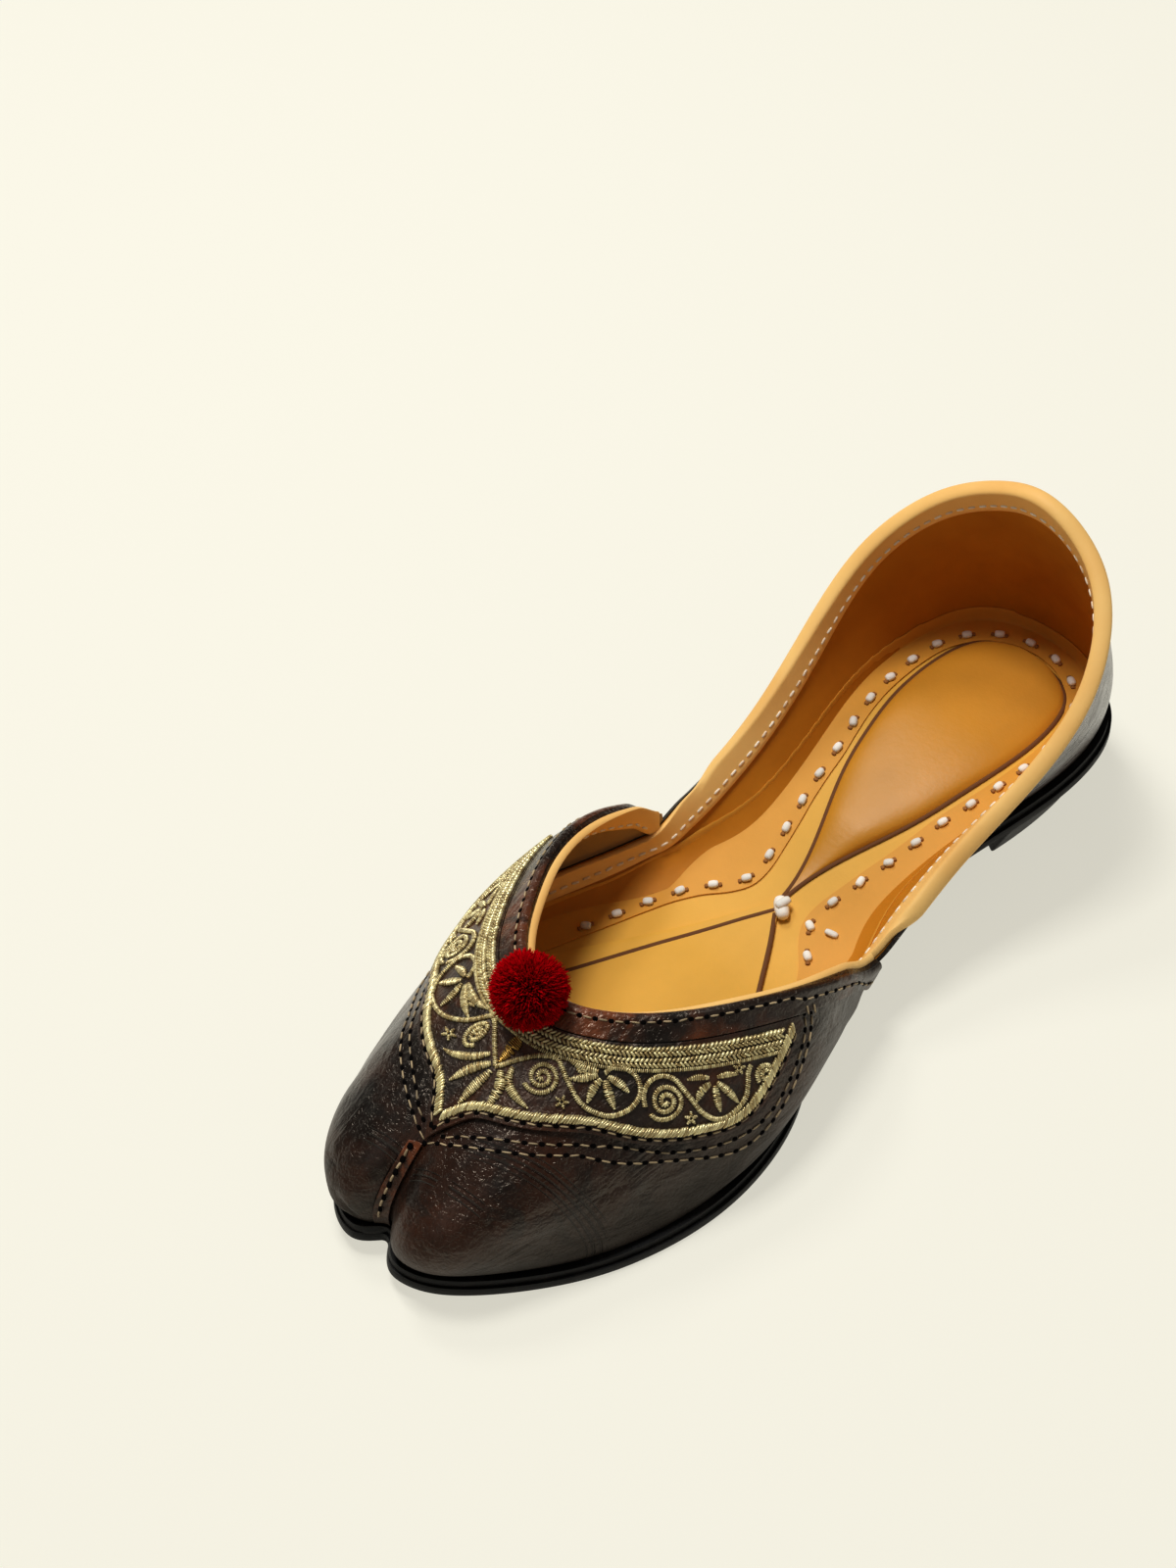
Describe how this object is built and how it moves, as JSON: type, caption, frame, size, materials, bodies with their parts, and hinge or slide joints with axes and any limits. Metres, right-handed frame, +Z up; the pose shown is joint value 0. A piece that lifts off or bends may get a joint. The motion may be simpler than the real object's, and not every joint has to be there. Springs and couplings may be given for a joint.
{
  "type": "mojari shoe",
  "caption": "Flat slip-on leather shoe with a two-lobed toe, low counter, embroidered vamp and a wool pompom on the throat.",
  "frame": {"origin": "centre of the bounding box, on the floor", "axes": "+Z up, toe towards -Y, heel towards +Y, +X across the shoe"},
  "size_m": [0.0964, 0.2424, 0.0855],
  "materials": {
    "sole_leather": "waxed, near black, worn at the edges",
    "brown_leather": "burnished dark brown, half gloss, fine grain",
    "tan_leather": "smooth yellow-tan, worn",
    "tan_lining": "soft tan, folded over the edges",
    "embroidered_leather": "dark brown, covered with raised gold thread",
    "red_wool": "crimson wool, brushed out"
  },
  "bodies": {
    "root": {"outsole": "sole_leather", "heel": "sole_leather", "insole": "tan_leather", "heel_pad": "tan_leather", "forefoot_pad": "tan_leather", "upper": "brown_leather", "throat_band": "brown_leather", "embroidered_panel": "embroidered_leather", "toe_seam": "brown_leather", "topline_fold": "tan_lining", "throat_fold": "tan_lining", "pompom": "red_wool"}
  },
  "joints": []
}
